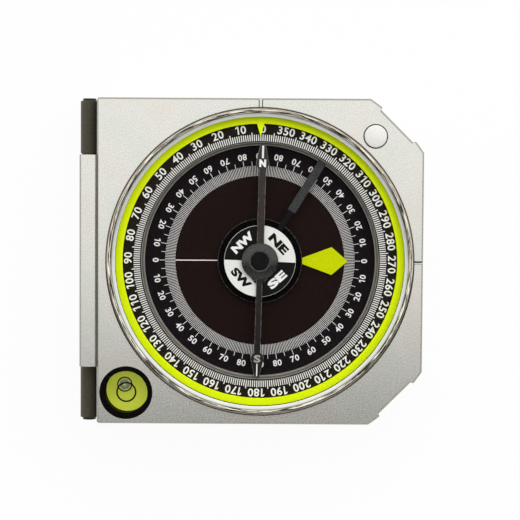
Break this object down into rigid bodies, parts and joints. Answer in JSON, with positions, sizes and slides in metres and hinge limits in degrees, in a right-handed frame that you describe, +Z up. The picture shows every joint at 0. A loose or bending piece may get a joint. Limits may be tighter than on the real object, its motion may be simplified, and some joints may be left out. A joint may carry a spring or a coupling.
{
  "type": "geological compass",
  "caption": "Square hand-held geological compass with a needle, declination ring, clinometer, round bubble level and a lid folded under the body on a two-pin hinge.",
  "frame": {"origin": "on the lid's underside, below the dial axis", "axes": "+Z up along the dial axis, +Y to the dial's pointer, -X to the hinge"},
  "size_m": [0.0879, 0.083, 0.0251],
  "materials": {
    "body_metal": "bead-blasted satin",
    "bezel_metal": "turned and polished",
    "rim_metal": "turned satin",
    "dark_metal": "dark satin",
    "black_metal": "black satin",
    "black_dial": "matt black with white print",
    "needle_metal": "dark satin",
    "lever_metal": "dark grey satin",
    "quadrant_paint": "white paint with black quarters",
    "lime_paint": "lime gloss paint",
    "lime_plastic": "moulded",
    "lime_fluid": "clear tinted fluid",
    "white_plastic": "moulded",
    "clear_glass": "polished",
    "mirror": "silvered",
    "black_rubber": "matt",
    "steel": "turned",
    "brass": "turned",
    "jewel": "polished"
  },
  "bodies": {
    "compass_body": {"body_housing": "body_metal", "bottom_cover": "body_metal", "bottom_cover_screws": "steel", "hinge_bracket": "body_metal", "bracket_screws": "steel", "upper_hinge_washers": "brass", "bezel_ring": "bezel_metal", "crystal_lens": "clear_glass", "lens_gasket": "black_rubber", "index_ring": "lime_paint", "dial_plate": "black_dial", "dial_rim": "rim_metal", "damping_cup": "brass", "pivot_post": "steel", "lever_post": "brass", "lever_pin": "steel", "level_cup": "black_metal", "level_plug": "lime_plastic", "level_fluid": "lime_fluid", "level_window": "clear_glass", "button_bushing": "brass", "button_spring": "steel"},
    "hinge_link": {"link_arm_north": "dark_metal", "link_arm_south": "dark_metal", "upper_hinge_pin": "steel", "lower_hinge_pin": "steel", "hinge_end_screws": "steel"},
    "lid": {"lid_plate": "body_metal", "lid_mirror": "mirror", "lower_hinge_washers": "brass"},
    "azimuth": {"azimuth_ring": "black_dial"},
    "pinion": {"declination_pinion": "brass", "declination_shaft": "steel"},
    "clinometer": {"clinometer_disc": "black_metal", "clinometer_pointer": "lime_paint", "clinometer_bush": "brass"},
    "button": {"lock_button": "white_plastic"},
    "lever": {"lift_lever": "lever_metal"},
    "collar": {"lift_collar": "brass"},
    "needle": {"needle_bar": "needle_metal", "needle_hub": "black_metal", "needle_cap": "black_metal", "quadrant_disc": "quadrant_paint", "jewel_bearing": "jewel"}
  },
  "joints": [
    {"name": "hinge_upper", "type": "hinge", "parent": "compass_body", "child": "hinge_link", "pos_m": [-0.0441, 0, 0.01635], "axis": [0, 1, 0], "range_deg": [0, 180]},
    {"name": "hinge_lower", "type": "hinge", "parent": "hinge_link", "child": "lid", "pos_m": [-0.0441, 0, 0.004], "axis": [0, 1, 0], "range_deg": [0, 180]},
    {"name": "declination", "type": "hinge", "parent": "compass_body", "child": "azimuth", "pos_m": [0, 0, 0.0198], "axis": [0, 0, 1], "range_deg": [-30, 30]},
    {"name": "pinion_turn", "type": "hinge", "parent": "compass_body", "child": "pinion", "pos_m": [-0.028, 0.028, 0.0195], "axis": [0, 0, 1], "range_deg": [-301, 301]},
    {"name": "clinometer_swing", "type": "hinge", "parent": "compass_body", "child": "clinometer", "pos_m": [0, 0, 0.0175], "axis": [0, 0, 1], "continuous": true},
    {"name": "button_press", "type": "slide", "parent": "compass_body", "child": "button", "axis": [0, 0, -1], "range_m": [0, 0.00055], "stiffness_N_per_m": 400, "springref_m": -0.001, "deforming": ["button_spring"]},
    {"name": "lever_rock", "type": "hinge", "parent": "compass_body", "child": "lever", "pos_m": [0.0128, 0.02048, 0.01752], "axis": [-0.848, 0.5299, 0], "range_deg": [0, 1.71]},
    {"name": "collar_lift", "type": "slide", "parent": "compass_body", "child": "collar", "axis": [0, 0, 1], "range_m": [0, 0.00072]},
    {"name": "needle_spin", "type": "hinge", "parent": "collar", "child": "needle", "pos_m": [0, 0, 0.0205], "axis": [0, 0, 1], "continuous": true}
  ],
  "couplings": [
    {"joint": "pinion_turn", "follows": "declination", "ratio": -10},
    {"joint": "lever_rock", "follows": "button_press", "rad_per_m": 54.194},
    {"joint": "collar_lift", "follows": "button_press", "ratio": 1.3088}
  ]
}
